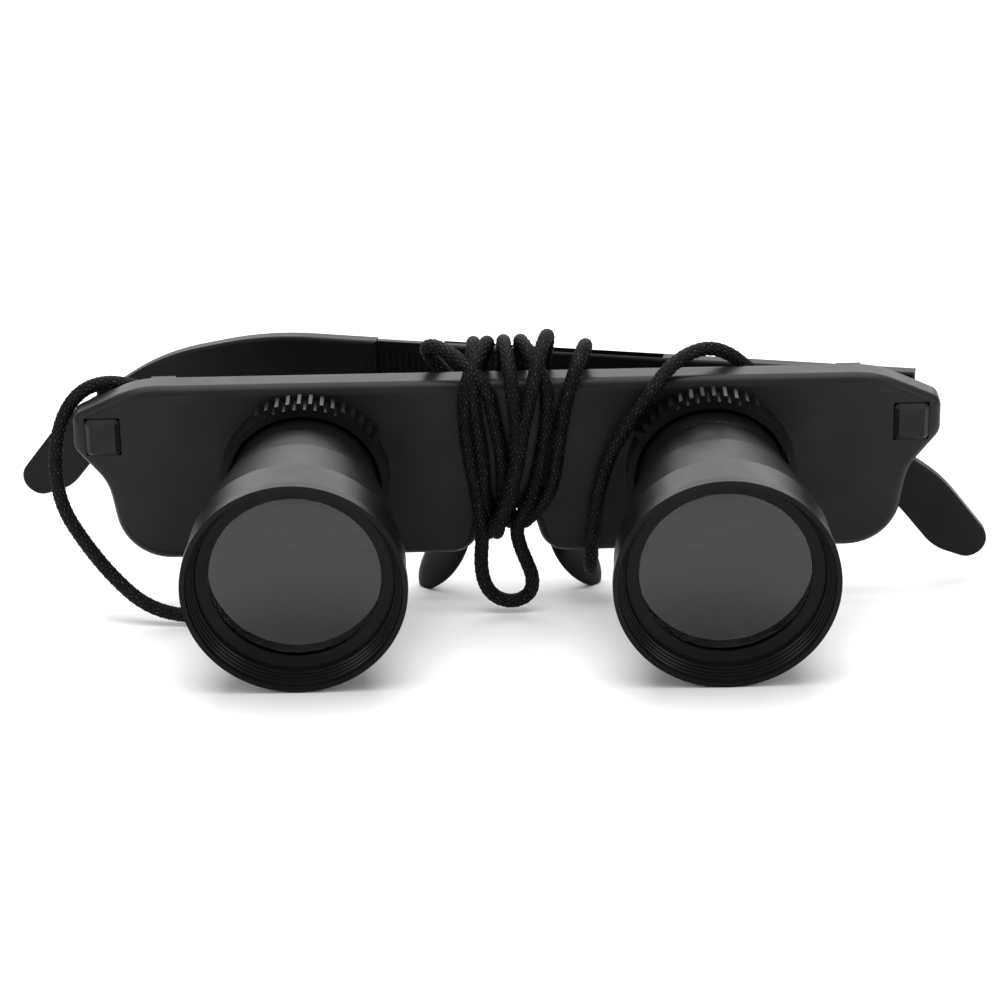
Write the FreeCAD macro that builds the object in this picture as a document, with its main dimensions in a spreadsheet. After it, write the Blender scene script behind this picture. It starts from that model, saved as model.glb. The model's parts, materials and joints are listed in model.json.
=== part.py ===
import FreeCAD, Part
import math
import os

import Sketcher
from FreeCAD import Placement, Rotation, Vector

# Hands-free spectacle binoculars, resting on a table on their two front rims and two nose pads.
#
# Every sub-part is drawn in the telescope frame, in millimetres: +X to the viewer's right, +Y from
# the objectives towards the eyes, +Z up, the origin midway between the two tube axes on the front
# face of the casing. At the end everything gets one common placement, which pitches the telescopes
# nose down until rims and pads are level, and puts the origin on the table under the middle.

SIZES = (
    # the casing
    ("eye_spacing", 66.0), ("shell_depth", 4.6), ("cover_depth", 1.0), ("wall", 1.5),
    ("edge_round", 1.7), ("cover_inset", 0.25), ("half_width", 70.4), ("top_height", 15.9),
    ("shoulder_x", 60.0), ("ear_top_height", 11.3), ("ear_low_height", 5.4),
    ("waist_x", 65.3), ("waist_height", -0.9), ("base_x", 63.0), ("base_height", -14.7),
    ("notch_low_x", 6.0), ("notch_top_x", 3.8), ("notch_height", -7.0),
    ("shoulder_round", 16.0), ("ear_round", 2.2), ("ear_low_round", 3.0), ("waist_round", 9.0),
    ("base_round", 9.0), ("notch_low_round", 4.6), ("notch_top_round", 2.5),
    # clearances
    ("running_fit", 0.05), ("clearance", 0.3), ("tenon_gap", 0.12), ("bulge_wall", 1.2),
    # focus rings
    ("ring_proud", 4.7), ("ring_radius", 13.7), ("ring_bore", 12.65), ("ring_lip", 0.4),
    ("ring_lip_depth", 1.2), ("thread_start", -1.0), ("tooth_valley", 13.9), ("tooth_tip", 15.0),
    ("tooth_length", 3.8), ("tooth_pitch", 7.0), ("tooth_land", 1.1), ("tooth_base", 5.2),
    ("teeth_start", -55.0),
    # telescopes
    ("focus_travel", 1.5), ("left_focus", -0.65), ("right_focus", 0.65),
    ("tail_radius", 12.0), ("tail_end", 2.8), ("flare_start", -8.0), ("flare_radius", 16.8),
    ("seam_y", -33.4), ("barrel_wall", 1.6), ("bore_end", -14.0),
    ("sleeve_radius", 10.4), ("sleeve_bore", 9.2), ("sleeve_front", -12.0),
    ("sleeve_flange", 11.9), ("sleeve_flange_depth", 0.8),
    ("cell_radius", 17.0), ("rim_radius", 17.46), ("rim_y", -42.5), ("rim_band", 1.6),
    ("rim_land", 0.8), ("groove_wide", 0.4), ("groove_depth", 0.16), ("neck_length", 2.0),
    ("neck_radius", 15.6), ("seat_depth", 0.6),
    ("retainer_radius", 15.2), ("retainer_depth", 0.9), ("clear_radius", 13.4),
    ("lens_radius", 14.0), ("lens_edge", 1.9), ("lens_front_curve", 52.0),
    ("lens_back_curve", 160.0), ("seat_radius", 13.2),
    ("eye_lens_radius", 9.0), ("eye_lens_depth", 2.2),
    ("eye_lens_curve", 34.0), ("eye_clear_radius", 7.8), ("eye_seat_y", 2.8),
    ("key_width", 1.4), ("key_height", 0.8), ("key_length", 4.0), ("key_y", -5.0),
    # hinges and temples
    ("hinge_x", 65.5), ("hinge_y", 12.0), ("tenon_height", 7.75), ("tenon_wide", 5.5),
    ("tenon_tall", 6.3), ("tenon_proud", 0.9), ("tenon_round", 0.9), ("tenon_bevel", 0.7),
    ("block_margin", 0.1), ("block_depth", 1.2), ("web_wide", 3.0), ("knuckle_radius", 2.1),
    ("knuckle_tall", 3.3), ("pin_radius", 0.8), ("temple_low", 3.9),
    ("temple_top", 11.75), ("ear_cap", 0.8),
    ("temple_thick", 2.8), ("temple_end", 1.9), ("temple_edge", 0.6), ("arm_length", 77.6),
    ("channel_start", 40.0), ("channel_margin", 0.7), ("tongue_thick", 1.0),
    ("tongue_length", 26.0), ("rib_pitch", 1.1), ("rib_wide", 0.45), ("rib_proud", 0.2),
    ("left_gap", 3.0), ("right_gap", 11.4), ("left_fold", -0.9), ("right_fold", 11.6),
    # nose pads, screws and cord
    ("pad_turn", 35.0), ("screw_radius", 0.8), ("screw_head", 1.6), ("screw_head_depth", 0.8),
    ("screw_depth", 2.6), ("lug_x", 56.0), ("lug_wide", 4.0), ("lug_depth", 3.8),
    ("lug_low", 9.0), ("lug_top", 14.3), ("cord_diameter", 2.4), ("cord_gap", 0.2),
)

doc = FreeCAD.newDocument("spectacle_binoculars")
sheet = doc.addObject("Spreadsheet::Sheet", "Sizes")
for row, (alias, value) in enumerate(SIZES, start=1):
    sheet.set(f"A{row}", alias)
    sheet.set(f"B{row}", str(value))
    sheet.setAlias(f"B{row}", alias)
doc.recompute()

SIDES = (("left", -1), ("right", 1))
nodes = {}  # node name: the document object that is exported


def val(expression):
    """The number that an expression over the sheet has now."""
    return float(sheet.evalExpression(expression))


# ------------------------------------------------------------------ drawing helpers

def origin_plane(body, role):
    return next(feature for feature in body.Origin.OriginFeatures if feature.Role == role)


def sketch(body, name, role, polygons=(), circles=(), offset=None):
    """A sketch on one of the body's origin planes, with every corner and radius bound to the sheet."""
    made = body.newObject("Sketcher::SketchObject", name)
    made.AttachmentSupport = [(origin_plane(body, role), "")]
    made.MapMode = "FlatFace"
    if offset is not None:
        made.setExpression("AttachmentOffset.Base.z", offset)
    for polygon in polygons:
        first = len(made.Geometry)
        at = [Vector(val(x), val(y), 0) for x, y in polygon]
        count = len(at)
        for i in range(count):
            made.addGeometry(Part.LineSegment(at[i], at[(i + 1) % count]), False)
        for i in range(count):
            after = first + (i + 1) % count
            made.addConstraint(Sketcher.Constraint("Coincident", first + i, 2, after, 1))
        for i, corner in enumerate(polygon):
            for kind, expression in zip(("DistanceX", "DistanceY"), corner):
                rule = Sketcher.Constraint(kind, -1, 1, first + i, 1, val(expression))
                made.setExpression(f"Constraints[{made.addConstraint(rule)}]", expression)
    for x, y, radius in circles:
        circle = Part.Circle(Vector(val(x), val(y), 0), Vector(0, 0, 1), val(radius))
        index = made.addGeometry(circle, False)
        for kind, expression in (("DistanceX", x), ("DistanceY", y)):
            rule = Sketcher.Constraint(kind, -1, 1, index, 3, val(expression))
            made.setExpression(f"Constraints[{made.addConstraint(rule)}]", expression)
        rule = Sketcher.Constraint("Radius", index, val(radius))
        made.setExpression(f"Constraints[{made.addConstraint(rule)}]", radius)
    return made


def new_body(label):
    body = doc.addObject("PartDesign::Body", label)
    body.Label = label
    return body


def pad(body, profile, length, backwards=False, both_ways=False):
    """Adds material along the sketch's normal, or against it, or half each way."""
    made = body.newObject("PartDesign::Pad", "Pad")
    made.Profile = profile
    made.setExpression("Length", length)
    made.Reversed = backwards
    made.Midplane = both_ways
    profile.Visibility = False
    return made


def pocket(body, profile, length, backwards=False, both_ways=False):
    """Removes material against the sketch's normal, and checks that something was removed."""
    doc.recompute()
    before = body.Shape.Volume
    made = body.newObject("PartDesign::Pocket", "Pocket")
    made.Profile = profile
    made.setExpression("Length", length)
    made.Reversed = backwards
    made.Midplane = both_ways
    doc.recompute()
    if not body.Shape.Volume < before - 1e-6:
        raise RuntimeError(f"{body.Label}: {made.Name} removes nothing")
    return made


def revolve(body, profile):
    """A full turn about the sketch's own first axis, which is the telescope axis."""
    made = body.newObject("PartDesign::Revolution", "Revolution")
    made.Profile = (profile, [""])
    made.ReferenceAxis = (profile, ["H_Axis"])
    made.Angle = 360
    return made


def turned(label, profile):
    """A body turned from a profile of (place along the axis, radius) corners."""
    body = new_body(label)
    revolve(body, sketch(body, "Profile", "YZ_Plane", [profile]))
    doc.recompute()
    return body


def round_edges(body, chosen, radius, bevel=False):
    """Rounds, or bevels, the edges of the body's tip that the function chosen accepts."""
    doc.recompute()
    base = body.Tip
    names = [f"Edge{i}" for i, edge in enumerate(base.Shape.Edges, start=1) if chosen(edge)]
    if not names:
        raise RuntimeError(f"{body.Label}: no edge to round by {radius}")
    kind, size = ("Chamfer", "Size") if bevel else ("Fillet", "Radius")
    made = body.newObject(f"PartDesign::{kind}", kind)
    made.Base = (base, names)
    made.setExpression(size, radius)
    doc.recompute()
    return made


def standing_at(corners):
    """Chooses the edges that run along Y through the given (x, z) corners."""
    points = [(val(x), val(z)) for x, z in corners]

    def chosen(edge):
        ends = [vertex.Point for vertex in edge.Vertexes]
        if len(ends) != 2 or abs(ends[0].y - ends[1].y) < 0.2:
            return False
        return any(
            all(math.hypot(end.x - x, end.z - z) < 0.02 for end in ends) for x, z in points
        )
    return chosen


def level_with(axis, place):
    """Chooses the edges that lie wholly in the plane where the axis has that value."""
    def chosen(edge):
        box = edge.BoundBox
        low, high = getattr(box, f"{axis}Min"), getattr(box, f"{axis}Max")
        return abs(low - place) < 0.01 and abs(high - place) < 0.01
    return chosen


def primitive(kind, name, **bound):
    """A Part primitive whose properties are bound to expressions."""
    made = doc.addObject(f"Part::{kind}", name)
    for prop, expression in bound.items():
        made.setExpression(prop.replace("_at_", "Placement.Base."), expression)
    return made


def along_y(made):
    """Lays a cylinder, which FreeCAD stands along Z, along +Y."""
    made.Placement = Placement(made.Placement.Base, Rotation(Vector(1, 0, 0), -90))
    return made


def boolean(kind, name, first, *others):
    """A Cut, Common or Fuse of document objects, left to right."""
    made = first
    for other in others:
        step = doc.addObject(f"Part::{kind}", name)
        step.Base, step.Tool = made, other
        made = step
    return made


def keep(name, made, inner=None):
    """Names a sub-part; inner is its own place in the telescope frame, if it has one."""
    made.Label = name
    nodes[name] = (made, inner or Placement())


def place(x="0", y="0", z="0"):
    return Placement(Vector(val(x), val(y), val(z)), Rotation())


def at_tube(side):
    return place(f"{side} * Sizes.eye_spacing / 2")


def focused(side_name, side):
    """Where a telescope's moving parts are, screwed a little in or out from the middle."""
    return place(f"{side} * Sizes.eye_spacing / 2", f"-Sizes.{side_name}_focus")


# ------------------------------------------------------------------ casing

def outline(inset="0"):
    """The casing's corners, clockwise from the top right, and the same mirrored."""
    right = [
        ("Sizes.shoulder_x", f"Sizes.top_height - {inset}"),
        (f"Sizes.half_width - {inset}", f"Sizes.ear_top_height - {inset}"),
        (f"Sizes.half_width - {inset}", "Sizes.ear_low_height"),
        (f"Sizes.waist_x - {inset}", "Sizes.waist_height"),
        (f"Sizes.base_x - {inset}", f"Sizes.base_height + {inset}"),
        (f"Sizes.notch_low_x + {inset}", f"Sizes.base_height + {inset}"),
        (f"Sizes.notch_top_x + {inset}", f"Sizes.notch_height + {inset}"),
    ]
    left = [(f"-({x})", z) for x, z in reversed(right)]
    return right + left


CORNER_ROUNDS = (
    "Sizes.shoulder_round", "Sizes.ear_round", "Sizes.ear_low_round", "Sizes.waist_round",
    "Sizes.base_round", "Sizes.notch_low_round", "Sizes.notch_top_round",
)
COVER_BACK = "(Sizes.shell_depth + Sizes.cover_depth)"
CAVITY = "(Sizes.ring_radius + Sizes.ring_lip + Sizes.clearance)"
TUBE_X = "Sizes.eye_spacing / 2"
SCREWS = tuple(
    (f"{sign}({x})", z)
    for sign in ("", "-")
    for x, z in (("Sizes.base_x - 6.5", "-7"), ("Sizes.shoulder_x - 4", "3"),
                 (f"{TUBE_X} - {CAVITY} - 4", "11.5"))
)


def tube_circles(radius):
    return [(f"{sign}{TUBE_X}", "0", radius) for sign in ("", "-")]


def box_corners(x_low, x_high, z_low, z_high):
    return [(x_low, z_low), (x_high, z_low), (x_high, z_high), (x_low, z_high)]


def tenon_windows(gap):
    half_wide, half_tall = f"(Sizes.tenon_wide / 2 + {gap})", f"(Sizes.tenon_tall / 2 + {gap})"
    return [
        box_corners(f"{sign}Sizes.hinge_x - {half_wide}", f"{sign}Sizes.hinge_x + {half_wide}",
                    f"Sizes.tenon_height - {half_tall}", f"Sizes.tenon_height + {half_tall}")
        for sign in ("", "-")
    ]


def rounded_plate(label, inset, start, depth):
    """The casing's outline as a plate from start, depth deep, with its corners rounded."""
    body = new_body(label)
    corners = outline(inset)
    pad(body, sketch(body, "Outline", "XZ_Plane", [corners], offset=f"-{start}"), depth,
        backwards=True)
    half = len(corners) // 2
    for i, radius in enumerate(CORNER_ROUNDS):
        pair = [corners[i], corners[2 * half - 1 - i]]
        round_edges(body, standing_at(pair), radius)
    return body


def front_shell():
    body = rounded_plate("front_shell", "0", "0", "Sizes.shell_depth")
    round_edges(body, level_with("Y", 0), "Sizes.edge_round")
    bulge = sketch(body, "Bulge", "XZ_Plane", circles=tube_circles(f"{CAVITY} + Sizes.bulge_wall"),
                   offset="-Sizes.edge_round")
    pad(body, bulge, "Sizes.shell_depth - Sizes.edge_round", backwards=True)
    round_cavity = sketch(body, "RingCavity", "XZ_Plane", circles=tube_circles(CAVITY),
                          offset="-Sizes.wall")
    pocket(body, round_cavity, "Sizes.shell_depth")
    inner = f"{TUBE_X} - {CAVITY} - Sizes.wall"
    middle = box_corners(f"-({inner} - 5)", f"{inner} - 5",
                         "Sizes.notch_height + 2 * Sizes.wall", "Sizes.top_height - 2 * Sizes.wall")
    hollows = sketch(body, "Hollow", "XZ_Plane", [middle], offset="-Sizes.wall")
    pocket(body, hollows, "Sizes.shell_depth")
    bores = sketch(body, "Bores", "XZ_Plane",
                   circles=tube_circles("Sizes.ring_radius + Sizes.running_fit"))
    pocket(body, bores, "Sizes.shell_depth")
    windows = sketch(body, "Windows", "XZ_Plane", tenon_windows("Sizes.tenon_gap"))
    pocket(body, windows, "Sizes.shell_depth")
    pilots = sketch(body, "Pilots", "XZ_Plane",
                    circles=[(x, z, "Sizes.screw_radius") for x, z in SCREWS],
                    offset="-(Sizes.shell_depth - Sizes.screw_depth)")
    pocket(body, pilots, "Sizes.screw_depth")
    keep("front_shell", body)


def back_cover():
    body = rounded_plate("back_cover", "Sizes.cover_inset", "Sizes.shell_depth",
                         "Sizes.cover_depth")
    bulge = sketch(body, "Bulge", "XZ_Plane", offset="-Sizes.shell_depth",
                   circles=tube_circles(f"{CAVITY} + Sizes.bulge_wall - Sizes.cover_inset"))
    pad(body, bulge, "Sizes.cover_depth", backwards=True)
    for name, circles in (
        ("SleeveHoles", tube_circles("Sizes.sleeve_radius")),
        ("ScrewHoles", [(x, z, "Sizes.screw_radius + 0.1") for x, z in SCREWS]),
    ):
        holes = sketch(body, name, "XZ_Plane", circles=circles, offset="-Sizes.shell_depth")
        pocket(body, holes, "Sizes.cover_depth")
    windows = sketch(body, "Windows", "XZ_Plane", tenon_windows("0"),
                     offset="-Sizes.shell_depth")
    pocket(body, windows, "Sizes.cover_depth")
    keep("back_cover", body)


def cover_screws():
    screws = []
    for i, (x, z) in enumerate(SCREWS):
        shank = along_y(primitive(
            "Cylinder", f"Shank{i}", Radius="Sizes.screw_radius", Height="Sizes.screw_depth + "
            "Sizes.cover_depth", _at_x=x, _at_z=z, _at_y="Sizes.shell_depth - Sizes.screw_depth"))
        head = along_y(primitive(
            "Cylinder", f"Head{i}", Radius="Sizes.screw_head", Height="Sizes.screw_head_depth",
            _at_x=x, _at_z=z, _at_y=COVER_BACK))
        screws.append(boolean("Fuse", f"Screw{i}", shank, head))
    group = doc.addObject("Part::Compound", "cover_screws")
    group.Links = screws
    keep("cover_screws", group)


# ------------------------------------------------------------------ telescopes

def focus_ring(side_name, side):
    name = f"{side_name}_focus_ring"
    lip_start = "(Sizes.wall + Sizes.clearance)"
    lip_end = f"({lip_start} + Sizes.ring_lip_depth)"
    thread = "Sizes.tail_radius + Sizes.running_fit"
    body = turned(name, [
        ("-Sizes.ring_proud", "Sizes.ring_bore"), ("-Sizes.ring_proud", "Sizes.ring_radius"),
        (lip_start, "Sizes.ring_radius"), (lip_start, "Sizes.ring_radius + Sizes.ring_lip"),
        (lip_end, "Sizes.ring_radius + Sizes.ring_lip"), (lip_end, thread),
        ("Sizes.thread_start", thread), ("Sizes.thread_start", "Sizes.ring_bore"),
    ])

    def around(radius, degrees):
        return (f"{-side} * ({radius}) * sin(({degrees}) * 1deg)",
                f"({radius}) * cos(({degrees}) * 1deg)")

    teeth = 13
    inside = "(Sizes.ring_radius - 0.2)"
    start, step = "-Sizes.teeth_start", "Sizes.tooth_pitch"
    edges = [f"{start} - ({i - 0.5}) * {step}" for i in range(teeth + 1)]
    sector = ([around("Sizes.tooth_valley", angle) for angle in edges]
              + [around(inside, angle) for angle in reversed(edges)])
    tops = []
    for i in range(teeth):
        middle = f"{start} - {i} * {step}"
        tops.append([
            around(inside, f"{middle} + Sizes.tooth_base / 2"),
            around("Sizes.tooth_valley", f"{middle} + Sizes.tooth_base / 2"),
            around("Sizes.tooth_tip", f"{middle} + Sizes.tooth_land"),
            around("Sizes.tooth_tip", f"{middle} - Sizes.tooth_land"),
            around("Sizes.tooth_valley", f"{middle} - Sizes.tooth_base / 2"),
            around(inside, f"{middle} - Sizes.tooth_base / 2"),
        ])
    pad(body, sketch(body, "Sector", "XZ_Plane", [sector], offset="Sizes.ring_proud"),
        "Sizes.tooth_length", backwards=True)
    doc.recompute()
    pad(body, sketch(body, "Teeth", "XZ_Plane", tops, offset="Sizes.ring_proud"),
        "Sizes.tooth_length", backwards=True)
    keep(name, body, at_tube(side))


def barrel(side_name, side):
    name = f"{side_name}_barrel"
    bore = "(Sizes.sleeve_radius + Sizes.running_fit)"
    neck_end = "Sizes.seam_y - Sizes.neck_length"
    neck_bore = "Sizes.neck_radius - Sizes.barrel_wall / 2"
    body = turned(name, [
        ("Sizes.tail_end", bore), ("Sizes.tail_end", "Sizes.tail_radius"),
        ("Sizes.flare_start", "Sizes.tail_radius"),
        ("(Sizes.flare_start + Sizes.seam_y) / 2",
         "(Sizes.tail_radius + Sizes.flare_radius) / 2 + 0.3"),
        ("Sizes.seam_y", "Sizes.flare_radius"), ("Sizes.seam_y", "Sizes.neck_radius"),
        (neck_end, "Sizes.neck_radius"), (neck_end, neck_bore),
        ("Sizes.seam_y + Sizes.barrel_wall", neck_bore),
        ("Sizes.bore_end - 2", bore + " + 0.6"), ("Sizes.bore_end", bore),
    ])
    slot_start = "(Sizes.key_y - Sizes.key_length / 2 - Sizes.focus_travel - Sizes.clearance)"
    slot = box_corners("-(Sizes.key_width / 2 + Sizes.clearance)",
                       "Sizes.key_width / 2 + Sizes.clearance", "Sizes.sleeve_radius - 1",
                       "Sizes.sleeve_radius + Sizes.key_height + Sizes.clearance - 0.07")
    middle = f"(Sizes.tail_end + {slot_start}) / 2"
    pocket(body, sketch(body, "KeySlot", "XZ_Plane", [slot], offset=f"-{middle}"),
           f"Sizes.tail_end - {slot_start}", both_ways=True)
    keep(name, body, focused(side_name, side))


def front_cell(side_name, side):
    neck_end = "(Sizes.seam_y - Sizes.neck_length)"
    seat = f"({neck_end} - Sizes.seat_depth)"
    pocket_end = f"({seat} - Sizes.lens_edge)"
    mouth = f"({pocket_end} - Sizes.retainer_depth)"
    rim_bore = "(Sizes.rim_radius - Sizes.rim_land)"

    def on_cone(share, deeper="0"):
        return (f"Sizes.rim_y + ({share}) * ({mouth} - Sizes.rim_y)",
                f"{rim_bore} + ({share}) * (Sizes.retainer_radius - {rim_bore}) + {deeper}")

    grooves = []
    half_groove = f"Sizes.groove_wide / 2 / ({mouth} - Sizes.rim_y)"
    for share in (0.22, 0.40, 0.58, 0.76):
        grooves += [on_cone(f"{share} - {half_groove}"), on_cone(share, "Sizes.groove_depth"),
                    on_cone(f"{share} + {half_groove}")]
    body = turned(f"{side_name}_front_cell", [
        ("Sizes.seam_y", "Sizes.neck_radius"), ("Sizes.seam_y", "Sizes.cell_radius"),
        ("Sizes.rim_y + Sizes.rim_band", "Sizes.cell_radius + 0.2"),
        ("Sizes.rim_y + Sizes.rim_band", "Sizes.rim_radius"),
        ("Sizes.rim_y", "Sizes.rim_radius"), ("Sizes.rim_y", rim_bore), *grooves,
        (mouth, "Sizes.retainer_radius"), (pocket_end, "Sizes.retainer_radius"),
        (pocket_end, "Sizes.lens_radius"), (seat, "Sizes.lens_radius"),
        (seat, "Sizes.seat_radius"), (neck_end, "Sizes.seat_radius"),
        (neck_end, "Sizes.neck_radius"),
    ])
    keep(body.Label, body, focused(side_name, side))
    ring = turned(f"{side_name}_lens_retainer", [
        (mouth, "Sizes.retainer_radius"), (mouth, "Sizes.retainer_radius - 0.3"),
        (f"{pocket_end} - 0.3", "Sizes.clear_radius"), (pocket_end, "Sizes.clear_radius"),
        (pocket_end, "Sizes.retainer_radius"),
    ])
    keep(ring.Label, ring, focused(side_name, side))


def sphere_edge(curve, radius):
    """How far behind its top a ball of that curve is at that radius."""
    return f"({curve} - sqrt({curve} * {curve} - {radius} * {radius}))"


def lenses(side_name, side):
    seat = "(Sizes.seam_y - Sizes.neck_length - Sizes.seat_depth)"
    front_edge = f"({seat} - Sizes.lens_edge)"
    bulge = sphere_edge("Sizes.lens_front_curve", "(Sizes.clear_radius - 0.02)")
    sink = sphere_edge("Sizes.lens_back_curve", "(Sizes.seat_radius - 0.02)")
    blank = along_y(primitive(
        "Cylinder", "Blank", Radius="Sizes.lens_radius", _at_y=f"{front_edge} - {bulge}",
        Height=f"Sizes.lens_edge + {bulge} + {sink}"))
    front = primitive("Sphere", "Front", Radius="Sizes.lens_front_curve",
                      _at_y=f"{front_edge} - {bulge} + Sizes.lens_front_curve")
    back = primitive("Sphere", "Back", Radius="Sizes.lens_back_curve",
                     _at_y=f"{seat} + {sink} - Sizes.lens_back_curve")
    objective = boolean("Common", f"{side_name}_objective_lens", blank, front, back)
    keep(f"{side_name}_objective_lens", objective, focused(side_name, side))

    blank = along_y(primitive("Cylinder", "Blank", Radius="Sizes.eye_lens_radius",
                              Height="Sizes.eye_lens_depth", _at_y="Sizes.eye_seat_y"))
    hollow = sphere_edge("Sizes.eye_lens_curve", "Sizes.eye_clear_radius")
    ball = primitive("Sphere", "Ball", Radius="Sizes.eye_lens_curve",
                     _at_y=f"Sizes.eye_seat_y + {hollow} - Sizes.eye_lens_curve")
    eyepiece = boolean("Cut", f"{side_name}_eyepiece_lens", blank, ball)
    keep(f"{side_name}_eyepiece_lens", eyepiece, at_tube(side))


def guide_sleeve(side_name, side):
    flange_end = f"({COVER_BACK} + Sizes.sleeve_flange_depth)"
    lens_end = "(Sizes.eye_seat_y + Sizes.eye_lens_depth)"
    body = turned(f"{side_name}_guide_sleeve", [
        ("Sizes.sleeve_front", "Sizes.sleeve_bore"), ("Sizes.sleeve_front", "Sizes.sleeve_radius"),
        (COVER_BACK, "Sizes.sleeve_radius"), (COVER_BACK, "Sizes.sleeve_flange"),
        (flange_end, "Sizes.sleeve_flange"), (flange_end, "Sizes.eye_lens_radius"),
        ("Sizes.eye_seat_y", "Sizes.eye_lens_radius"),
        ("Sizes.eye_seat_y", "Sizes.eye_clear_radius"),
        ("Sizes.eye_seat_y - 1", "Sizes.eye_clear_radius"),
        ("Sizes.eye_seat_y - 1", "Sizes.sleeve_bore"),
    ])
    keep(body.Label, body, at_tube(side))
    ring = turned(f"{side_name}_eyepiece_retainer", [
        (lens_end, "Sizes.eye_clear_radius"), (lens_end, "Sizes.eye_lens_radius"),
        (flange_end, "Sizes.eye_lens_radius"), (flange_end, "Sizes.eye_clear_radius + 0.6"),
    ])
    keep(ring.Label, ring, at_tube(side))
    key = primitive("Box", f"{side_name}_guide_key", Length="Sizes.key_width",
                    Width="Sizes.key_length", Height="Sizes.key_height")
    on_sleeve = place("-Sizes.key_width / 2", "Sizes.key_y - Sizes.key_length / 2",
                      "Sizes.sleeve_radius - 0.07")
    keep(f"{side_name}_guide_key", key, at_tube(side).multiply(on_sleeve))


# ------------------------------------------------------------------ hinges and temples

PIN_MIDDLE = "((Sizes.temple_low + Sizes.temple_top) / 2)"


def hinge_block(side_name, side):
    """A square tenon through the casing, a foot on the back cover and the middle knuckle."""
    body = new_body(f"{side_name}_hinge_block")
    across = f"{side} * Sizes.hinge_x"

    def plate(half_wide, low, high, start, length):
        corners = box_corners(f"{across} - ({half_wide})", f"{across} + ({half_wide})", low, high)
        pad(body, sketch(body, "Plate", "XZ_Plane", [corners], offset=f"-({start})"), length,
            backwards=True)
        doc.recompute()
        return corners

    half_tall = "Sizes.tenon_tall / 2"
    tenon = plate("Sizes.tenon_wide / 2", f"Sizes.tenon_height - {half_tall}",
                  f"Sizes.tenon_height + {half_tall}", "-Sizes.tenon_proud",
                  f"Sizes.tenon_proud + Sizes.shell_depth + Sizes.cover_depth")
    round_edges(body, standing_at(tenon), "Sizes.tenon_round")
    front = -val("Sizes.tenon_proud")
    round_edges(body, level_with("Y", front), "Sizes.tenon_bevel", bevel=True)
    margin = "Sizes.block_margin"
    plate(f"Sizes.tenon_wide / 2 + {margin}", f"Sizes.tenon_height - {half_tall} - {margin}",
          f"Sizes.tenon_height + {half_tall} + {margin}", COVER_BACK, "Sizes.block_depth")
    web_start = f"{COVER_BACK} + Sizes.block_depth"
    plate("Sizes.web_wide / 2", f"{PIN_MIDDLE} - Sizes.knuckle_tall / 2",
          f"{PIN_MIDDLE} + Sizes.knuckle_tall / 2", web_start,
          f"Sizes.hinge_y - ({web_start})")
    for name, radius, work in (("Knuckle", "Sizes.knuckle_radius", pad),
                               ("PinHole", "Sizes.pin_radius", pocket)):
        work(body, sketch(body, name, "XY_Plane", circles=[(across, "Sizes.hinge_y", radius)],
                          offset=PIN_MIDDLE), "Sizes.knuckle_tall", both_ways=True)
    keep(body.Label, body)

    pin_low = "(Sizes.temple_low + Sizes.clearance)"
    pin = primitive("Cylinder", f"{side_name}_hinge_pin", Radius="Sizes.pin_radius",
                    Height=f"Sizes.temple_top - Sizes.ear_cap - Sizes.clearance - {pin_low}")
    keep(f"{side_name}_hinge_pin", pin, place(across, "Sizes.hinge_y", pin_low))


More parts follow.
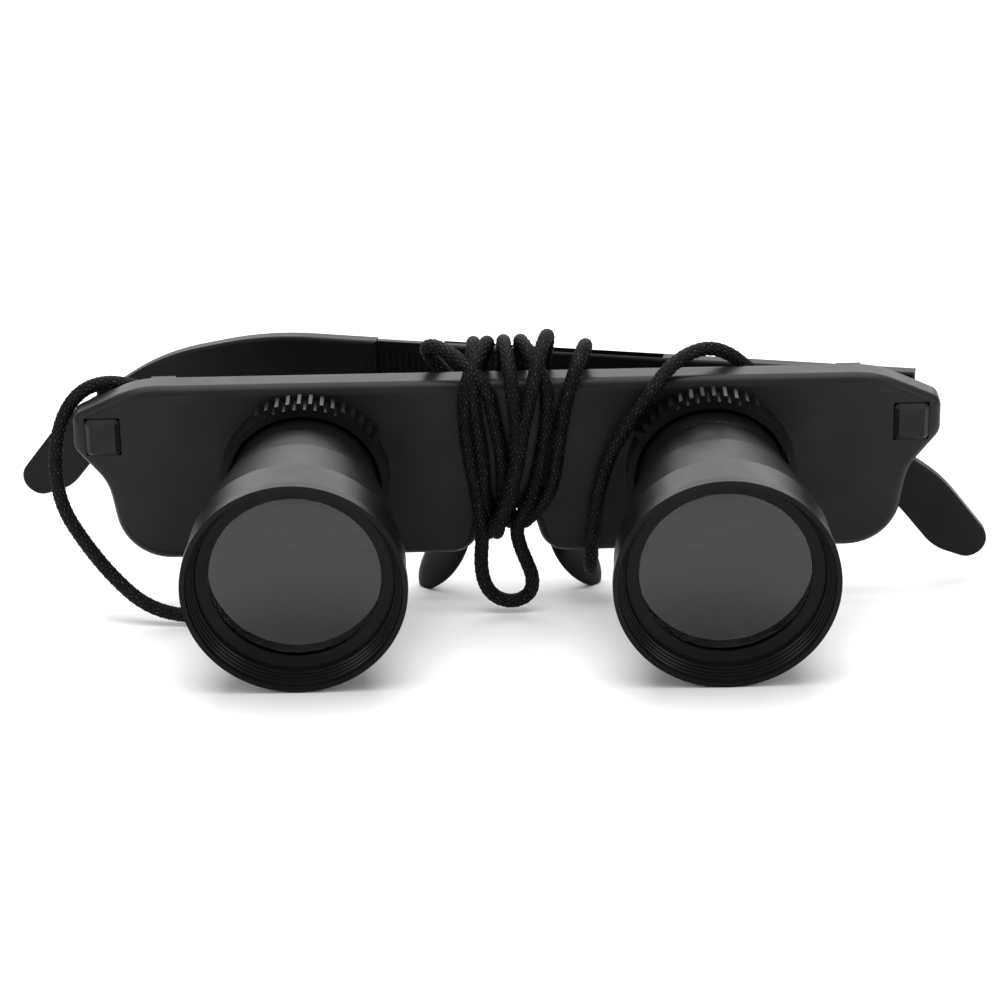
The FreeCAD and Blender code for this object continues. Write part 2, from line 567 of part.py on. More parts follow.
def temple(side_name, side):
    """The arm on the hinge and the tip that slides in its channel, as a pair."""
    fold = val(f"Sizes.{side_name}_fold")
    inner = Placement(Vector(side * val("Sizes.hinge_x"), val("Sizes.hinge_y"), 0),
                      Rotation(Vector(0, 0, 1), -side * fold))

    def strip(low_u, high_u, low_z, high_z):
        return [(f"{-side} * ({u})", z) for u, z in
                ((low_u, low_z), (high_u, low_z), (high_u, high_z), (low_u, high_z))]

    arm = new_body(f"{side_name}_temple")
    pad(arm, sketch(arm, "Outline", "XZ_Plane", [
        strip("-Sizes.temple_end", "Sizes.arm_length", "Sizes.temple_low", "Sizes.temple_top")]),
        "Sizes.temple_thick", both_ways=True)
    half = val("Sizes.temple_thick / 2")
    faces = (level_with("Y", -half), level_with("Y", half))
    round_edges(arm, lambda edge: any(face(edge) for face in faces), "Sizes.temple_edge")
    gap_half = "(Sizes.knuckle_tall / 2 + Sizes.clearance)"
    fork = strip("-Sizes.temple_end - 1", "Sizes.knuckle_radius + Sizes.clearance + 0.2",
                 f"{PIN_MIDDLE} - {gap_half}", f"{PIN_MIDDLE} + {gap_half}")
    pocket(arm, sketch(arm, "Fork", "XZ_Plane", [fork]), "Sizes.temple_thick + 2",
           both_ways=True)
    hole = [("0", "0", "Sizes.pin_radius + Sizes.running_fit")]
    hole_low, hole_top = "(Sizes.temple_low - 1)", "(Sizes.temple_top - Sizes.ear_cap)"
    pocket(arm, sketch(arm, "PinHole", "XY_Plane", circles=hole,
                       offset=f"({hole_low} + {hole_top}) / 2"),
           f"{hole_top} - {hole_low}", both_ways=True)
    margin = "Sizes.channel_margin"
    channel = strip("Sizes.channel_start", "Sizes.arm_length + 1",
                    f"Sizes.temple_low + {margin}", "Sizes.temple_top + 1")
    room = "Sizes.tongue_thick + Sizes.rib_proud + 2 * Sizes.clearance"
    pocket(arm, sketch(arm, "Channel", "XZ_Plane", [channel]), room, both_ways=True)
    keep(arm.Label, arm, inner)

    gap = f"Sizes.{side_name}_gap"
    shoulder = f"(Sizes.arm_length + {gap})"
    tip = new_body(f"{side_name}_temple_tip")
    profile = (
        ("0", "Sizes.temple_low", None), ("24", "Sizes.temple_low + 0.2", 40),
        ("47", "-8", 30), ("55.8", "-19.2", 8), ("61.9", "-21.4", 3), ("66", "-18.4", 3.1),
        ("57", "-6.6", 25), ("38", "6.9", 40), ("19", "Sizes.temple_top + 0.1", 60),
        ("0", "Sizes.temple_top", None),
    )
    corners = [(f"{-side} * ({shoulder} + {u})", z) for u, z, _ in profile]
    pad(tip, sketch(tip, "Outline", "XZ_Plane", [corners]), "Sizes.temple_thick", both_ways=True)
    for corner, (_, _, radius) in zip(corners, profile):
        if radius is not None:
            round_edges(tip, standing_at([corner]), f"{radius}")
    round_edges(tip, lambda edge: any(face(edge) for face in faces), "Sizes.temple_edge")
    tongue_margin = f"({margin} + Sizes.clearance)"
    low, high = f"Sizes.temple_low + {tongue_margin}", "Sizes.temple_top - 0.15"
    tongue = strip(f"{shoulder} - Sizes.tongue_length", f"{shoulder} + 1", low, high)
    pad(tip, sketch(tip, "Tongue", "XZ_Plane", [tongue], offset="-Sizes.rib_proud / 2"),
        "Sizes.tongue_thick", both_ways=True)
    doc.recompute()
    ribs = []
    for i in range(10):
        start = f"{shoulder} - 0.6 - {i} * Sizes.rib_pitch - Sizes.rib_wide"
        ribs.append(strip(start, f"{start} + Sizes.rib_wide", f"{low} + 0.4", f"{high} - 1.6"))
    pad(tip, sketch(tip, "Ribs", "XZ_Plane", ribs,
                    offset="Sizes.tongue_thick / 2 - Sizes.rib_proud / 2"), "Sizes.rib_proud")
    keep(tip.Label, tip, inner)


# ------------------------------------------------------------------ nose pads and cord lugs

PAD_SECTIONS = (  # distance from the middle, depth, height, half depth and half thickness
    (7.8, 8.2, -8.6, 2.4, 1.3), (8.8, 9.5, -14.0, 4.0, 1.25), (11.0, 10.1, -19.4, 4.6, 1.2),
    (13.2, 10.2, -23.3, 3.4, 1.1), (14.2, 10.2, -25.1, 1.6, 0.8),
)


def nose_pad(side_name, side):
    turn = Rotation(Vector(0, 0, 1), 90 - side * val("Sizes.pad_turn"))
    sections = []
    for i, (x, y, z, half_deep, half_thick) in enumerate(PAD_SECTIONS):
        oval = doc.addObject("Part::Ellipse", f"{side_name}_pad_section{i}")
        oval.MajorRadius, oval.MinorRadius = half_deep, half_thick
        oval.Placement = Placement(Vector(side * x, y, z), turn)
        sections.append(oval)
    blade = doc.addObject("Part::Loft", f"{side_name}_pad_blade")
    blade.Sections, blade.Solid, blade.Ruled = sections, True, False
    x, y, z = PAD_SECTIONS[0][:3]
    stem = along_y(primitive("Cylinder", f"{side_name}_pad_stem", Radius="1.6",
                             Height=f"{y} + 1 - {COVER_BACK}", _at_x=f"{side * x}",
                             _at_y=COVER_BACK, _at_z=f"{z - 1.2}"))
    keep(f"{side_name}_nose_pad", boolean("Fuse", f"{side_name}_nose_pad", blade, stem))


def cord_lug(side_name, side):
    lug = primitive("Box", f"{side_name}_cord_lug", Length="Sizes.lug_wide",
                    Width="Sizes.lug_depth", Height="Sizes.lug_top - Sizes.lug_low")
    keep(f"{side_name}_cord_lug", lug,
         place(f"{side} * Sizes.lug_x - Sizes.lug_wide / 2", COVER_BACK, "Sizes.lug_low"))


# ------------------------------------------------------------------ neck cord

LEFT_STRAND = (  # from the left lug, out round the left end, under and up behind the bridge
    (-58.0, 7.5, 12.6), (-61.6, 7.6, 13.8), (-65.6, 7.4, 14.4), (-69.4, 6.8, 13.2),
    (-72.2, 5.6, 10.0), (-73.7, 4.0, 5.4), (-74.0, 2.4, 0.2), (-72.9, 0.2, -5.0),
    (-69.5, -1.8, -10.2), (-65.0, -4.2, -15.4), (-59.6, -6.6, -19.7), (-53.0, -7.8, -21.2),
    (-45.4, -7.0, -21.2), (-38.6, -4.0, -20.7), (-32.6, 0.8, -19.8), (-27.0, 5.2, -17.8),
    (-22.0, 8.0, -13.2), (-16.6, 7.7, -8.0), (-11.0, 7.2, -3.2), (-5.5, 7.0, 1.2),
)
RIGHT_STRAND = (  # from the right lug, over the top, down the front, under and up the back
    (54.0, 7.5, 12.6), (50.2, 7.5, 11.8), (46.4, 7.6, 11.4), (42.6, 7.8, 12.2),
    (39.4, 8.0, 14.4), (36.6, 7.8, 17.0), (33.0, 6.2, 18.9), (29.0, 3.2, 18.9),
    (25.4, -0.2, 17.2), (22.6, -2.6, 13.6), (19.4, -2.7, 9.2), (16.6, -2.3, 4.2),
    (14.9, -2.2, -1.6), (13.8, -2.3, -8.0), (13.2, -2.3, -15.4), (13.4, 0.4, -18.2),
    (13.6, 4.3, -18.2), (13.8, 7.1, -15.4), (14.2, 7.1, -10.0), (14.0, 7.1, -3.8),
    (12.0, 7.1, 2.2), (9.2, 7.1, 7.6),
)
HANGING_LOOP = (  # a slack turn that hangs below the bridge in front of the notch
    (1.1, -3.6, -8.0), (1.6, -3.6, -11.2), (2.8, -3.7, -14.4), (3.8, -3.8, -17.2),
    (3.4, -4.0, -20.0), (0.8, -4.2, -21.4), (-2.2, -4.1, -20.8), (-4.2, -3.9, -18.4),
    (-4.8, -3.7, -14.4), (-4.3, -3.4, -9.6),
)


def cord_tube(name, route):
    """Straight runs joined by tangent arcs, each as large as its two runs allow."""
    points = [Vector(*point) for point in route]
    radius = val("Sizes.cord_diameter / 2")
    edges, start, radii = [], points[0], []
    for before, corner, after in zip(points, points[1:], points[2:]):
        into, out = (corner - before), (after - corner)
        turn = into.getAngle(out)
        reach = 0.45 * min(into.Length, out.Length)
        into.normalize()
        out.normalize()
        enter, leave = corner - into * reach, corner + out * reach
        bisector = (out - into).normalize()
        arc_radius = reach / math.tan(turn / 2)
        radii.append(arc_radius)
        middle = corner + bisector * (math.hypot(arc_radius, reach) - arc_radius)
        edges.append(Part.LineSegment(start, enter).toShape())
        edges.append(Part.Arc(enter, middle, leave).toShape())
        start = leave
    edges.append(Part.LineSegment(start, points[-1]).toShape())
    path = Part.Wire(edges)
    first = points[1] - points[0]
    section = Part.Wire([Part.makeCircle(radius, points[0], first)])
    tube = path.makePipeShell([section], True, True)
    expected = math.pi * radius ** 2 * path.Length
    print(f"{name}: {path.Length:.1f} mm, volume {tube.Volume / expected:.4f} of section times "
          f"length, radii {' '.join(f'{size:.1f}' for size in radii)}")
    made = doc.addObject("Part::Feature", name)
    made.Shape = tube
    keep(name, made)


def winding():
    """The outer shape of the turns round the bridge: a band round the casing, clear of it."""
    cord, gap = val("Sizes.cord_diameter"), val("Sizes.cord_gap")
    front, back = -gap, val(COVER_BACK) + gap
    top, notch_top = val("Sizes.top_height") + gap, val("Sizes.notch_height") - gap
    notch_low, notch_round = val("Sizes.base_height"), val("Sizes.notch_top_round")
    layer = cord + 0.5
    across = [(front - 2 * layer, notch_top), (front - 2 * layer, top), (front - 2, top + 4.4),
              (front + 5, top + 5.6), (back + layer - 0.4, top + 3.6), (back + layer, notch_top),
              (back, notch_top - layer), (front, notch_top - layer)]
    wire = Part.makePolygon([Vector(-40, y, z) for y, z in across + across[:1]])
    band = Part.Face(wire).extrude(Vector(80, 0, 0))

    flat_x = val("Sizes.notch_top_x") - notch_round - gap
    side_x, side_z = val("Sizes.notch_top_x") + 0.4, notch_top - notch_round
    low_x = val("Sizes.notch_low_x") - 0.4
    right = [(40, top), (40, notch_low - 5), (low_x, notch_low - 5), (low_x, notch_low),
             (side_x, side_z), (flat_x, notch_top)]
    casing = right + [(-x, z) for x, z in reversed(right)]
    face = [(-9.0, top + 8), (-8.0, 6.0), (-3.6, notch_top - 5), (4.0, notch_top - 5),
            (8.6, 4.0), (13.5, top + 8)]

    def through(corners, start, end):
        wire = Part.makePolygon([Vector(x, start, z) for x, z in corners + corners[:1]])
        return Part.Face(wire).extrude(Vector(0, end - start, 0))

    made = doc.addObject("Part::Feature", "lanyard_winding")
    made.Shape = band.common(through(face, -40, 40)).cut(through(casing, front, back)).Solids[0]
    keep("lanyard_winding", made)


# ------------------------------------------------------------------ the whole

front_shell()
back_cover()
cover_screws()
for side_name, side in SIDES:
    focus_ring(side_name, side)
    guide_sleeve(side_name, side)
    barrel(side_name, side)
    front_cell(side_name, side)
    lenses(side_name, side)
    hinge_block(side_name, side)
    temple(side_name, side)
    nose_pad(side_name, side)
    cord_lug(side_name, side)
cord_tube("lanyard_left_strand", LEFT_STRAND)
cord_tube("lanyard_right_strand", RIGHT_STRAND)
cord_tube("lanyard_loop", HANGING_LOOP)
winding()
doc.recompute()

for made in doc.Objects:
    if any(word in made.State for word in ("Invalid", "Error")):
        raise RuntimeError(f"{made.Label} failed: {made.State}")


def in_telescope_frame(made, inner):
    shape = made.Shape.copy()
    shape.Placement = inner.multiply(shape.Placement)
    return shape


shapes = {name: in_telescope_frame(*kept) for name, kept in nodes.items()}


def lowest(name, pitch):
    shape = shapes[name].copy()
    shape.rotate(Vector(), Vector(1, 0, 0), pitch)
    return shape.optimalBoundingBox(False).ZMin


# The pitch at which the front rims and the nose pads stand at one height.
flat, steep = 0.0, 20.0
while steep - flat > 1e-4:
    pitch = (flat + steep) / 2
    rims = min(lowest(f"{name}_front_cell", pitch) for name, _ in SIDES)
    if rims > lowest("left_nose_pad", pitch):
        flat = pitch
    else:
        steep = pitch

tilted = Placement(Vector(), Rotation(Vector(1, 0, 0), pitch))
box = FreeCAD.BoundBox()
for name, shape in shapes.items():
    if not name.startswith("lanyard"):
        turned_shape = shape.copy()
        turned_shape.Placement = tilted.multiply(turned_shape.Placement)
        box.add(turned_shape.optimalBoundingBox(False))
resting = Placement(Vector(-box.Center.x, -box.Center.y, -box.ZMin), tilted.Rotation)
print(f"pitch {pitch:.4f} degrees, origin at {tuple(round(c, 4) for c in resting.Base)}")

for name, (made, inner) in nodes.items():
    made.Placement = resting.multiply(inner).multiply(made.Placement)
doc.recompute()

os.makedirs("parts", exist_ok=True)
for name, (made, inner) in nodes.items():
    shape = made.Shape
    if shape.isNull() or not shape.isValid():
        raise RuntimeError(f"{name} has a bad shape")
    shape.exportStep(f"parts/{name}.step")
print(f"{len(nodes)} sub-parts written")
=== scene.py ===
import json
import math

import bmesh
import bpy
from mathutils import Matrix, Vector


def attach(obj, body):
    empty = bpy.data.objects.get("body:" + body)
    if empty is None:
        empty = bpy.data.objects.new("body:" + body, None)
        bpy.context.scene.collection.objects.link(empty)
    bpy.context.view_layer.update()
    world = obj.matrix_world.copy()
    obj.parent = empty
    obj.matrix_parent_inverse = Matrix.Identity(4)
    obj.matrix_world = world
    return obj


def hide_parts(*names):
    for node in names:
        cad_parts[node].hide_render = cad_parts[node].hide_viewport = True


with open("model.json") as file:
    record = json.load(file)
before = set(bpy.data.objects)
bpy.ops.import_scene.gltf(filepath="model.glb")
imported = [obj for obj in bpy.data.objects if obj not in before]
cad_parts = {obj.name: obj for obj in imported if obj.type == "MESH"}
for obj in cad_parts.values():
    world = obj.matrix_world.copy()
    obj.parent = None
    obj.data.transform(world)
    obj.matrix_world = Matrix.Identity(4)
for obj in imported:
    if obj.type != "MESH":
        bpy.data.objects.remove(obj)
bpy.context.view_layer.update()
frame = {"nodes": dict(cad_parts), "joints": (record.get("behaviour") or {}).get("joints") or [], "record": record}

MM = 0.001

# ------------------------------------------------------------------ the telescope frame
# The CAD is drawn in the telescopes' own frame and then rests nose down. The two focus joints
# give that frame back: +X across, +Y from the objectives to the eyes, +Z up, origin between them.

focus = {j["name"]: j for j in frame["joints"] if j["name"].endswith("focus_turn")}
BACK = -Vector(focus["left_focus_turn"]["axis"]).normalized()
ACROSS = Vector((1, 0, 0))
UP = ACROSS.cross(BACK)
ORIGIN = (Vector(focus["left_focus_turn"]["pos_m"])
          + Vector(focus["right_focus_turn"]["pos_m"])) / 2


def at(x, y, z):
    """A point of the telescope frame, given in millimetres, in the row frame in metres."""
    return ORIGIN + MM * (x * ACROSS + y * BACK + z * UP)


# ------------------------------------------------------------------ camera

CAMERA_DISTANCE = 0.57
CAMERA_RISE = math.radians(24.6)  # above the telescopes' axes
CAMERA_ROLL = -math.radians(1.15)
CAMERA_LENS = 126.9
SENSOR_WIDTH = 36
CAMERA_SHIFT = (-0.0082, -0.0153)
CLIP_START = 0.05
AIM = at(0, -4.7, 0)

camera = bpy.data.objects.new("camera", bpy.data.cameras.new("camera"))
bpy.context.collection.objects.link(camera)
bpy.context.scene.camera = camera
camera.data.lens = CAMERA_LENS
camera.data.sensor_width = SENSOR_WIDTH
camera.data.shift_x, camera.data.shift_y = CAMERA_SHIFT
camera.data.clip_start = CLIP_START
towards = (-math.cos(CAMERA_RISE) * BACK + math.sin(CAMERA_RISE) * UP).normalized()
side = UP.cross(towards).normalized()
above = towards.cross(side)
rotation = Matrix((side, above, towards)).transposed().to_4x4()
camera.matrix_world = (Matrix.Translation(AIM + CAMERA_DISTANCE * towards) @ rotation
                       @ Matrix.Rotation(CAMERA_ROLL, 4, "Z"))

# ------------------------------------------------------------------ neck cord

CORD_DIAMETER = 2.4 * MM
LEFT_STRAND = (  # from the left lug, out round the left end, under and up behind the bridge
    (-58.0, 7.5, 12.6), (-61.6, 7.6, 13.8), (-65.6, 7.4, 14.4), (-69.4, 6.8, 13.2),
    (-72.2, 5.6, 10.0), (-73.7, 4.0, 5.4), (-74.0, 2.4, 0.2), (-72.9, 0.2, -5.0),
    (-69.5, -1.8, -10.2), (-65.0, -4.2, -15.4), (-59.6, -6.6, -19.7), (-53.0, -7.8, -21.2),
    (-45.4, -7.0, -21.2), (-38.6, -4.0, -20.7), (-32.6, 0.8, -19.8), (-27.0, 5.2, -17.8),
    (-22.0, 8.0, -13.2), (-16.6, 7.7, -8.0), (-11.0, 7.2, -3.2), (-6.5, 7.0, 1.2),
)
HANGING_LOOP = (  # the slack turn that hangs below the bridge
    (1.1, -3.6, -8.0), (1.6, -3.6, -11.2), (2.8, -3.7, -14.4), (3.8, -3.8, -17.2),
    (3.4, -4.0, -20.0), (0.8, -4.2, -21.4), (-2.2, -4.1, -20.8), (-4.2, -3.9, -18.4),
    (-4.8, -3.7, -14.4), (-4.3, -3.4, -9.6),
)
RIGHT_STRAND = (  # from behind the bridge, under, up the front and over the top to its lug
    (9.2, 7.1, 7.6), (12.0, 7.1, 2.2), (14.0, 7.1, -3.8), (14.2, 7.1, -10.0),
    (13.8, 7.1, -15.4), (13.6, 4.3, -18.2), (13.4, 0.4, -18.2), (13.2, -2.3, -15.4),
    (13.8, -2.3, -8.0), (14.9, -2.2, -1.6), (16.6, -2.3, 4.2), (19.4, -2.7, 9.2),
    (22.6, -2.6, 13.6), (25.4, -0.2, 17.2), (29.0, 3.2, 18.9), (33.0, 6.2, 18.9),
    (36.6, 7.8, 17.0), (39.4, 8.0, 14.4), (42.6, 7.8, 12.2), (46.4, 7.6, 11.4),
    (50.2, 7.5, 11.8), (54.0, 7.5, 12.6),
)
ROWS = (15.6, 9.5, 3.0, -3.6)  # heights of a turn's control points on the front of the casing
BEHIND_DEPTH = 7.1  # of a strand's centre behind the casing
FRONT_DEPTH = -1.5  # and against its front
LAYER_DEPTH = 2.4
UNDERSIDE_POINTS = 3  # of a turn, below the bridge
# One row per turn round the bridge: x behind the casing, x at the back and at the front of the
# arch and its height, x at each of ROWS, x under the bridge, and the layer it lies in in front.
TURNS_OVER = (  # up behind the casing, over the top and down the front
    (-6.0, -5.3, -5.0, 20.2, (-5.6, -5.0, -4.0, -3.9), -3.2, 0),
    (-3.4, -13.6, -9.4, 19.8, (-3.0, -2.0, -0.8, -1.0), 0.2, 0),
    (-0.8, -0.4, -0.2, 20.4, (1.0, 1.4, 1.6, -0.6), -2.0, 1),
    (1.8, 2.4, 2.4, 20.4, (6.6, 6.4, 5.4, 3.9), 1.2, 0),
)
TURNS_BACK = (  # up the front of the casing, over the top and down behind it
    (-7.4, -2.8, -3.2, 20.2, (-6.8, -6.9, -6.2, -5.0), -3.6, 0),
    (4.4, 7.0, 6.4, 21.2, (4.0, 2.6, 1.6, 0.2), -3.4, 1),
    (8.6, 13.1, 12.7, 19.4, (10.2, 8.8, 8.0, 6.8), 2.6, 0),
)


def turn_round_bridge(behind, back, top, height, front, under, layer):
    """Control points of one turn, from low behind the casing, over the top, to the underside."""
    depth = FRONT_DEPTH - LAYER_DEPTH * layer
    points = [(0.6 * behind + 0.4 * under, BEHIND_DEPTH, -4.0), (behind, BEHIND_DEPTH, 4.0),
              (0.6 * behind + 0.4 * back, 7.3, 12.0), (back, 8.0, height - 1.0),
              (0.5 * back + 0.5 * top, 4.8, height + 1.2),
              (0.5 * top + 0.5 * front[0], 0.4 - layer, height - 0.8)]
    points += [(x, depth, z) for x, z in zip(front, ROWS)]
    points += [(under, depth + 0.3, -8.4 - layer), (under, 2.6, -9.8 - 1.6 * layer),
               (under, 6.4, -8.6 - layer)]
    return points


def joined(over, back):
    """The whole route; the last turn over and the first turn back run into the loop instead."""
    route = list(LEFT_STRAND)
    for turn in over[:-1]:
        route += turn_round_bridge(*turn)
    route += turn_round_bridge(*over[-1])[:-UNDERSIDE_POINTS]
    route += HANGING_LOOP
    for i, turn in enumerate(back):
        points = turn_round_bridge(*turn)[::-1]
        route += points[UNDERSIDE_POINTS:] if i == 0 else points
    return route + list(RIGHT_STRAND)


CURVE_STEPS = 24
CURVE_ORDER = 3


def cord_line(route):
    """The open NURBS curve through the route, evaluated as points."""
    data = bpy.data.curves.new("cord_line", "CURVE")
    data.dimensions = "3D"
    data.resolution_u = CURVE_STEPS
    spline = data.splines.new("NURBS")
    spline.points.add(len(route) - 1)
    for point, place in zip(spline.points, route):
        point.co = (*at(*place), 1)
    spline.order_u = CURVE_ORDER
    spline.use_endpoint_u = True
    line = bpy.data.objects.new("cord_line", data)
    bpy.context.collection.objects.link(line)
    bpy.context.view_layer.update()
    sampled = bpy.data.meshes.new_from_object(line)
    points = [vertex.co.copy() for vertex in sampled.vertices]
    bpy.data.meshes.remove(sampled)
    bpy.data.objects.remove(line)
    return points


def evenly(points, step):
    """The same line with points one step apart."""
    out, left = [points[0]], step
    for a, b in zip(points, points[1:]):
        length = (b - a).length
        while length > left:
            a = a + (b - a) * (left / length)
            length -= left
            out.append(a.copy())
            left = step
        left -= length
    return out


RING_STEP = 0.22 * MM
SIDES = 40
LOBES = 10  # braid diamonds round the cord
BRAID_PITCH = 1.35 * MM
BRAID_RELIEF = 0.26 * MM


def braided_tube(name, centres):
    """A tube along the centres whose surface rises and falls as the yarns of a braid."""
    radius = CORD_DIAMETER / 2
    vertices, faces, relief = [], [], []
    ahead = (centres[1] - centres[0]).normalized()
    normal = ahead.orthogonal().normalized()
    for i, centre in enumerate(centres):
        if 0 < i < len(centres) - 1:
            turned = (centres[i + 1] - centres[i - 1]).normalized()
            normal = (ahead.rotation_difference(turned) @ normal).normalized()
            ahead = turned
        normal = (normal - ahead * normal.dot(ahead)).normalized()
        across = ahead.cross(normal)
        along = i * RING_STEP / BRAID_PITCH
        for k in range(SIDES):
            angle = 2 * math.pi * k / SIDES
            turn = LOBES * k / SIDES
            one, two = math.sin(math.pi * (turn + along)), math.sin(math.pi * (turn - along))
            rise = math.sqrt(abs(one * two))
            out = math.cos(angle) * normal + math.sin(angle) * across
            vertices.append(centre + out * (radius - BRAID_RELIEF * (1 - rise)))
            relief.append(rise)
    for i in range(len(centres) - 1):
        for k in range(SIDES):
            a, b = i * SIDES + k, i * SIDES + (k + 1) % SIDES
            faces.append((a, b, b + SIDES, a + SIDES))
    last = (len(centres) - 1) * SIDES
    faces.append(tuple(reversed(range(SIDES))))
    faces.append(tuple(range(last, last + SIDES)))
    mesh = bpy.data.meshes.new(name)
    mesh.from_pydata(vertices, [], faces)
    # the relief also sets the braid's colour: painted highlight on the raised crowns, painted shade in the grooves
    mesh.attributes.new("relief", "FLOAT", "POINT").data.foreach_set("value", relief)
    mesh.shade_smooth()
    made = bpy.data.objects.new(name, mesh)
    bpy.context.collection.objects.link(made)
    return made


centres = evenly(cord_line(joined(TURNS_OVER, TURNS_BACK)), RING_STEP)
neck_cord = braided_tube("neck_cord", centres)
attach(neck_cord, "frame")
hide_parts("lanyard_left_strand", "lanyard_right_strand", "lanyard_loop",
            "lanyard_winding")

# ------------------------------------------------------------------ objective lenses

LENS_RADIUS = 14.0
LENS_CURVES = (52.0, 160.0)  # of the front and the back face
LENS_RINGS = 24
LENS_SEGMENTS = 96
LENS_SHARP = math.radians(40)


def polished_lens(name, body):
    """The CAD lens again with evenly spaced faces, so that its reflections are smooth."""
    node = frame["nodes"][name]
    places = [node.matrix_world @ vertex.co - ORIGIN for vertex in node.data.vertices]
    depths = [place.dot(BACK) / MM for place in places]
    centre = (min(place.x for place in places) + max(place.x for place in places)) / 2 / MM
    steps = [LENS_RADIUS * i / LENS_RINGS for i in range(LENS_RINGS + 1)]
    front, back = ([curve - math.sqrt(curve ** 2 - radius ** 2) for radius in steps]
                   for curve in LENS_CURVES)
    profile = [(radius, min(depths) + sag) for radius, sag in zip(steps, front)]
    profile += [(radius, max(depths) - sag) for radius, sag in zip(steps, back)][::-1]
    made = bmesh.new()
    rings = []
    for radius, depth in profile:
        count = LENS_SEGMENTS if radius else 1  # one vertex at the top of each face
        angles = [2 * math.pi * k / count for k in range(count)]
        rings.append([made.verts.new(at(centre + radius * math.cos(angle), depth,
                                        radius * math.sin(angle))) for angle in angles])
    for one, two in zip(rings, rings[1:]):
        for k in range(LENS_SEGMENTS):
            corners = [one[k % len(one)], one[(k + 1) % len(one)],
                       two[(k + 1) % len(two)], two[k % len(two)]]
            made.faces.new(list(dict.fromkeys(corners)))
    bmesh.ops.recalc_face_normals(made, faces=made.faces)
    mesh = bpy.data.meshes.new(f"{name}_polished")
    made.to_mesh(mesh)
    made.free()
    mesh.shade_smooth()
    mesh.set_sharp_from_angle(angle=LENS_SHARP)
    lens = bpy.data.objects.new(f"{name}_polished", mesh)
    bpy.context.collection.objects.link(lens)
    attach(lens, body)
    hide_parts(name)
    return lens


lenses = [polished_lens(f"{name}_objective_lens", f"{name}_telescope")
          for name in ("left", "right")]

# ------------------------------------------------------------------ materials


def material(name):
    """A node material, with the parts that the recipes below work on."""
    made = bpy.data.materials.new(name)
    made.use_nodes = True
    nodes = made.node_tree.nodes
    return made, nodes, made.node_tree.links, nodes["Principled BSDF"]


def noise(nodes, links, scale, detail=3.0):
    """The value of a noise fixed to the object, scale cells to the metre."""
    where = nodes.new("ShaderNodeTexCoord")
    made = nodes.new("ShaderNodeTexNoise")
    made.inputs["Scale"].default_value = scale
    made.inputs["Detail"].default_value = detail
    links.new(where.outputs["Object"], made.inputs["Vector"])
    return made.outputs["Fac"]


def between(nodes, links, factor, low, high):
    """The factor spread from low to high."""
    made = nodes.new("ShaderNodeMapRange")
    links.new(factor, made.inputs["Value"])
    made.inputs["To Min"].default_value = low
    made.inputs["To Max"].default_value = high
    return made.outputs["Result"]


def colours(nodes, links, factor, dark, light, low=0.35, high=0.7):
    """From dark, while the factor is under low, to light, once it is over high."""
    made = nodes.new("ShaderNodeValToRGB")
    made.color_ramp.elements[0].position = low
    made.color_ramp.elements[1].position = high
    made.color_ramp.elements[0].color = (*dark, 1)
    made.color_ramp.elements[1].color = (*light, 1)
    links.new(factor, made.inputs["Fac"])
    return made.outputs["Color"]


def bump(nodes, links, height, strength, distance):
    made = nodes.new("ShaderNodeBump")
    made.inputs["Strength"].default_value = strength
    made.inputs["Distance"].default_value = distance
    links.new(height, made.inputs["Height"])
    return made.outputs["Normal"]


GRAIN_DEPTH = 0.05 * MM
MOTTLE_SCALE = 90
GLOSS_SCALE = 260
GLOSS_SPREAD = 0.06
FIBRE_DEPTH = 0.15 * MM


def black_plastic(name, shade, roughness, grain, relief, specular):
    """Moulded black plastic: a faint mottle, uneven gloss and a fine spark-eroded grain."""
    made, nodes, links, shader = material(name)
    mottle = noise(nodes, links, MOTTLE_SCALE)
    links.new(colours(nodes, links, mottle, (shade * 0.75,) * 3, (shade * 1.25,) * 3),
              shader.inputs["Base Color"])
    links.new(between(nodes, links, noise(nodes, links, GLOSS_SCALE), roughness - GLOSS_SPREAD,
                      roughness + GLOSS_SPREAD), shader.inputs["Roughness"])
    links.new(bump(nodes, links, noise(nodes, links, grain, detail=4), relief, GRAIN_DEPTH),
              shader.inputs["Normal"])
    shader.inputs["Specular IOR Level"].default_value = specular
    return made


def lens_glass(name, tint):
    """Clear glass, darkened by its tint."""
    made, nodes, links, shader = material(name)
    links.new(colours(nodes, links, noise(nodes, links, scale=30), tint, [c * 0.94 for c in tint]),
              shader.inputs["Base Color"])
    links.new(between(nodes, links, noise(nodes, links, scale=400), 0.0, 0.005),
              shader.inputs["Roughness"])
    shader.inputs["Transmission Weight"].default_value = 1
    shader.inputs["Specular IOR Level"].default_value = 0.2
    shader.inputs["IOR"].default_value = 1.5
    return made


def brushed_steel(name):
    """Steel with an uneven dull shine."""
    made, nodes, links, shader = material(name)
    shader.inputs["Metallic"].default_value = 1
    links.new(colours(nodes, links, noise(nodes, links, scale=300), (0.28,) * 3, (0.4,) * 3),
              shader.inputs["Base Color"])
    links.new(between(nodes, links, noise(nodes, links, scale=900), 0.28, 0.42),
              shader.inputs["Roughness"])
    return made


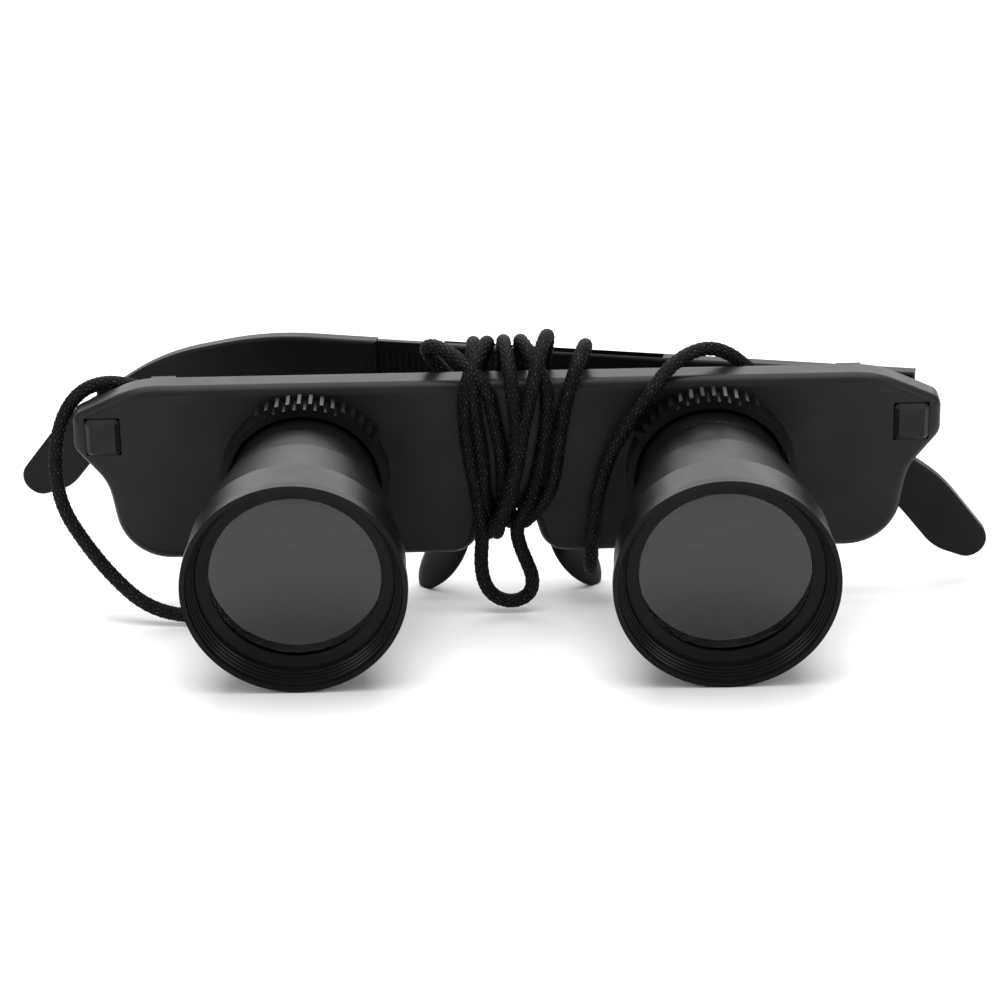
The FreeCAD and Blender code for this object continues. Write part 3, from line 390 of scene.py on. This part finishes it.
def braid(name):
    """Black yarns, palest where the braid's surface stands out: painted highlight on the raised crowns, broken up
    by fibre noise, and painted shade, near black, in the grooves between them.
    """
    made, nodes, links, shader = material(name)
    relief = nodes.new("ShaderNodeAttribute")
    relief.attribute_name = "relief"
    fibres = noise(nodes, links, scale=2600, detail=5)
    painted_light_mask = nodes.new("ShaderNodeMath")
    painted_light_mask.operation = "MULTIPLY"
    links.new(relief.outputs["Fac"], painted_light_mask.inputs[0])
    links.new(fibres, painted_light_mask.inputs[1])
    # painted highlight on the yarn crowns and painted shade in the grooves: the colour follows the braid's relief
    # times the fibre noise
    links.new(colours(nodes, links, painted_light_mask.outputs[0], (0.0006,) * 3, (0.075,) * 3,
                      low=0.38, high=0.72),
              shader.inputs["Base Color"])
    links.new(between(nodes, links, fibres, 0.45, 0.75), shader.inputs["Roughness"])
    links.new(bump(nodes, links, fibres, 0.6, FIBRE_DEPTH), shader.inputs["Normal"])
    shader.inputs["Specular IOR Level"].default_value = 0.13
    return made


CASING = black_plastic("casing_plastic", shade=0.011, roughness=0.36, grain=5200, relief=0.06,
                       specular=0.15)
BARREL = black_plastic("barrel_plastic", shade=0.004, roughness=0.31, grain=4200, relief=0.10,
                       specular=0.1)
RING = black_plastic("ring_plastic", shade=0.005, roughness=0.34, grain=5200, relief=0.06,
                     specular=0.14)
TEMPLE = black_plastic("temple_plastic", shade=0.007, roughness=0.34, grain=5200, relief=0.06,
                       specular=0.09)
PAD = black_plastic("pad_plastic", shade=0.005, roughness=0.36, grain=5200, relief=0.06,
                    specular=0.12)
GLASS = lens_glass("optical_glass", (0.2, 0.21, 0.22))
STEEL = brushed_steel("steel_pin")
BRAID = braid("braided_cord")
BY_SLOT = {"casing_plastic": CASING, "barrel_plastic": BARREL, "ring_plastic": RING,
           "temple_plastic": TEMPLE, "pad_plastic": PAD, "optical_glass": GLASS,
           "steel_pin": STEEL, "braided_cord": BRAID}

for subpart in frame["record"]["subparts"]:
    node = frame["nodes"][subpart["node"]]
    node.data.materials.clear()
    node.data.materials.append(BY_SLOT[subpart["material_slot"]])
neck_cord.data.materials.append(BRAID)
for lens in lenses:
    lens.data.materials.append(GLASS)

# ------------------------------------------------------------------ table and lights


def table(reach):
    """A plain pale floor at the object's own height zero."""
    mesh = bpy.data.meshes.new("table")
    mesh.from_pydata([(-reach, -reach, 0), (reach, -reach, 0), (reach, reach, 0),
                      (-reach, reach, 0)], [], [(0, 1, 2, 3)])
    made = bpy.data.objects.new("table", mesh)
    bpy.context.collection.objects.link(made)
    shade, nodes, links, shader = material("pale_table")
    links.new(colours(nodes, links, noise(nodes, links, scale=3), (0.9,) * 3, (0.93,) * 3),
              shader.inputs["Base Color"])
    shader.inputs["Roughness"].default_value = 0.9
    shader.inputs["Specular IOR Level"].default_value = 0.1
    mesh.materials.append(shade)


table(reach=3.0)


def softbox(name, place, aim_at, width, height, power):
    """A rectangular area light, in metres and watts."""
    light = bpy.data.lights.new(name, "AREA")
    light.shape = "RECTANGLE"
    light.size, light.size_y = width, height
    light.energy = power
    made = bpy.data.objects.new(name, light)
    bpy.context.collection.objects.link(made)
    made.location = place
    made.rotation_euler = (Vector(aim_at) - Vector(place)).to_track_quat("-Z", "Y").to_euler()


softbox("top_light", (0, 0.1, 1.4), (0, 0.1, 0), width=1.3, height=1.6, power=24)
softbox("back_light", (0, 1.3, 0.75), (0, 0, 0.05), width=2.2, height=0.7, power=15)
for name, x in (("left_light", -0.75), ("right_light", 0.75)):
    softbox(name, (x, -0.6, 0.4), (0, 0, 0), width=0.35, height=0.35, power=2)

WORLD_STRENGTH = 0.55

world = bpy.data.worlds.new("studio")
world.use_nodes = True
world.node_tree.nodes["Background"].inputs["Color"].default_value = (1, 1, 1, 1)
world.node_tree.nodes["Background"].inputs["Strength"].default_value = WORLD_STRENGTH
bpy.context.scene.world = world
bpy.context.scene.view_settings.view_transform = "Standard"
